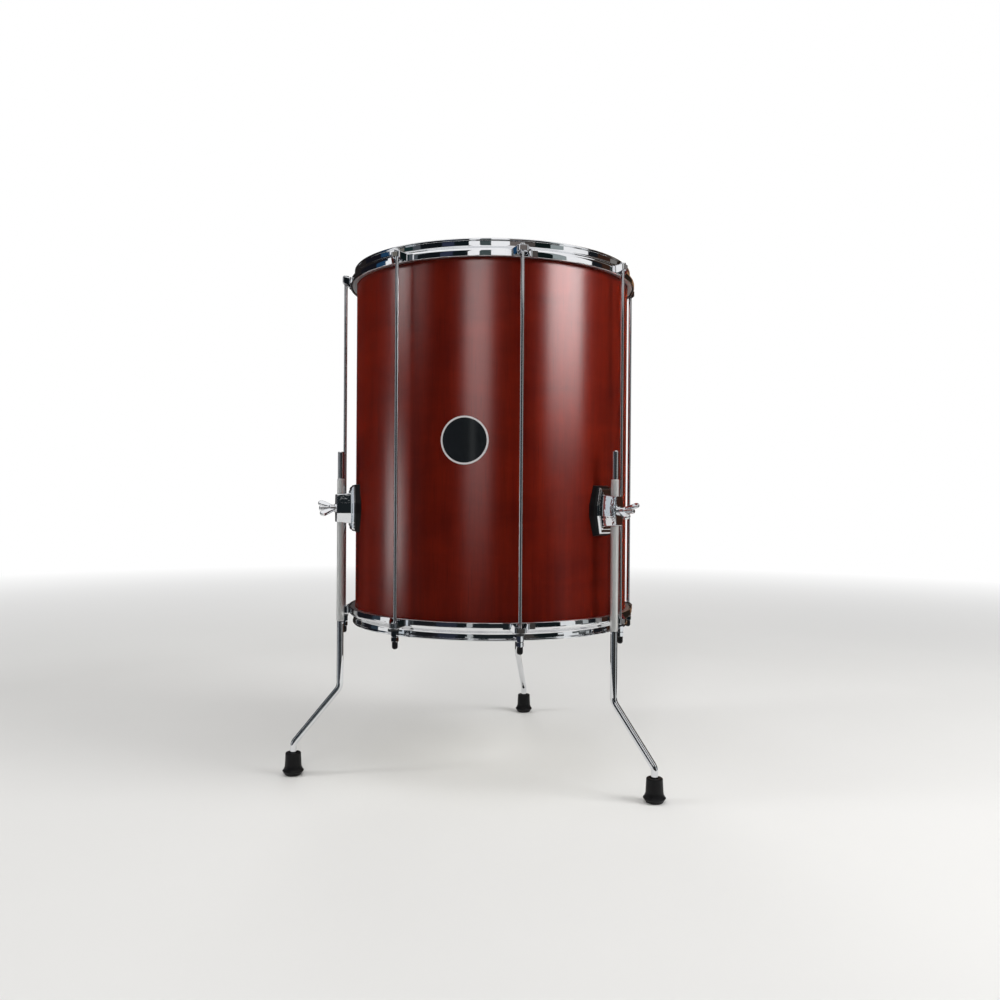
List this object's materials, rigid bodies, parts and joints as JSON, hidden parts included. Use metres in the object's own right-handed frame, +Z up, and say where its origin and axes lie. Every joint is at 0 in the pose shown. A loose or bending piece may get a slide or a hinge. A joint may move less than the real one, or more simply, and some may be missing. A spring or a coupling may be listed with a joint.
{
  "type": "floor standing surdo drum",
  "caption": "Tall wooden shell drum with through tension rods, stepped counter hoops and adjustable clamped legs on rubber feet.",
  "frame": {"origin": "on the drum's axis at floor level, midway between the three feet", "axes": "+Z up along the drum's axis, -Y towards the badge at the front, +X to the right seen from the front"},
  "size_m": [0.6026, 0.5846, 0.8212],
  "materials": {
    "stained_wood": "satin red-brown stain over a fine vertical grain",
    "head_film": "matte coated drum film",
    "aluminium": "brushed",
    "chrome": "polished chrome plating",
    "black_nylon": "matte black",
    "black_rubber": "soft black rubber",
    "badge_metal": "bright border",
    "badge_black": "bare gloss black disc",
    "zinc_steel": "zinc plated"
  },
  "bodies": {
    "drum": {"shell": "stained_wood", "top_head_film": "head_film", "bottom_head_film": "head_film", "top_flesh_hoop": "aluminium", "bottom_flesh_hoop": "aluminium", "top_hoop": "chrome", "bottom_hoop": "chrome", "top_hoop_ears": "chrome", "bottom_hoop_ears": "chrome", "tension_rods": "chrome", "tension_rod_washers": "black_nylon", "rod_end_caps": "black_rubber", "badge_plate": "badge_metal", "badge_inlay": "badge_black", "bracket_fixings": "zinc_steel", "bracket_fixing_washers": "zinc_steel", "left_bracket_gasket": "black_rubber", "left_leg_clamp": "chrome", "right_bracket_gasket": "black_rubber", "right_leg_clamp": "chrome", "back_bracket_gasket": "black_rubber", "back_leg_clamp": "chrome"},
    "tuning_nut_1": {"tuning_nut_1": "chrome"},
    "tuning_nut_2": {"tuning_nut_2": "chrome"},
    "tuning_nut_3": {"tuning_nut_3": "chrome"},
    "tuning_nut_4": {"tuning_nut_4": "chrome"},
    "tuning_nut_5": {"tuning_nut_5": "chrome"},
    "tuning_nut_6": {"tuning_nut_6": "chrome"},
    "tuning_nut_7": {"tuning_nut_7": "chrome"},
    "tuning_nut_8": {"tuning_nut_8": "chrome"},
    "left_leg": {"left_leg": "chrome", "left_rubber_foot": "black_rubber"},
    "left_wing_bolt": {"left_wing_bolt": "chrome"},
    "right_leg": {"right_leg": "chrome", "right_rubber_foot": "black_rubber"},
    "right_wing_bolt": {"right_wing_bolt": "chrome"},
    "back_leg": {"back_leg": "chrome", "back_rubber_foot": "black_rubber"},
    "back_wing_bolt": {"back_wing_bolt": "chrome"}
  },
  "joints": [
    {"name": "tuning_nut_1_turn", "type": "hinge", "parent": "drum", "child": "tuning_nut_1", "pos_m": [0.09426, -0.22755, 0.2386], "axis": [0, 0, 1], "range_deg": [-180, 180]},
    {"name": "tuning_nut_2_turn", "type": "hinge", "parent": "drum", "child": "tuning_nut_2", "pos_m": [0.22755, -0.09426, 0.2386], "axis": [0, 0, 1], "range_deg": [-180, 180]},
    {"name": "tuning_nut_3_turn", "type": "hinge", "parent": "drum", "child": "tuning_nut_3", "pos_m": [0.22755, 0.09426, 0.2386], "axis": [0, 0, 1], "range_deg": [-180, 180]},
    {"name": "tuning_nut_4_turn", "type": "hinge", "parent": "drum", "child": "tuning_nut_4", "pos_m": [0.09426, 0.22755, 0.2386], "axis": [0, 0, 1], "range_deg": [-180, 180]},
    {"name": "tuning_nut_5_turn", "type": "hinge", "parent": "drum", "child": "tuning_nut_5", "pos_m": [-0.09426, 0.22755, 0.2386], "axis": [0, 0, 1], "range_deg": [-180, 180]},
    {"name": "tuning_nut_6_turn", "type": "hinge", "parent": "drum", "child": "tuning_nut_6", "pos_m": [-0.22755, 0.09426, 0.2386], "axis": [0, 0, 1], "range_deg": [-180, 180]},
    {"name": "tuning_nut_7_turn", "type": "hinge", "parent": "drum", "child": "tuning_nut_7", "pos_m": [-0.22755, -0.09426, 0.2386], "axis": [0, 0, 1], "range_deg": [-180, 180]},
    {"name": "tuning_nut_8_turn", "type": "hinge", "parent": "drum", "child": "tuning_nut_8", "pos_m": [-0.09426, -0.22755, 0.2386], "axis": [0, 0, 1], "range_deg": [-180, 180]},
    {"name": "left_leg_height", "type": "slide", "parent": "drum", "child": "left_leg", "axis": [0, 0, 1], "range_m": [-0.03, 0.165]},
    {"name": "left_wing_bolt_turn", "type": "hinge", "parent": "drum", "child": "left_wing_bolt", "pos_m": [-0.24249, -0.14, 0.4258], "axis": [-0.866, -0.5, 0], "range_deg": [-30, 360]},
    {"name": "right_leg_height", "type": "slide", "parent": "drum", "child": "right_leg", "axis": [0, 0, 1], "range_m": [-0.03, 0.165]},
    {"name": "right_wing_bolt_turn", "type": "hinge", "parent": "drum", "child": "right_wing_bolt", "pos_m": [0.24249, -0.14, 0.4258], "axis": [0.866, -0.5, 0], "range_deg": [-30, 360]},
    {"name": "back_leg_height", "type": "slide", "parent": "drum", "child": "back_leg", "axis": [0, 0, 1], "range_m": [-0.03, 0.165]},
    {"name": "back_wing_bolt_turn", "type": "hinge", "parent": "drum", "child": "back_wing_bolt", "pos_m": [0, 0.28, 0.4258], "axis": [0, 1, 0], "range_deg": [-30, 360]}
  ]
}
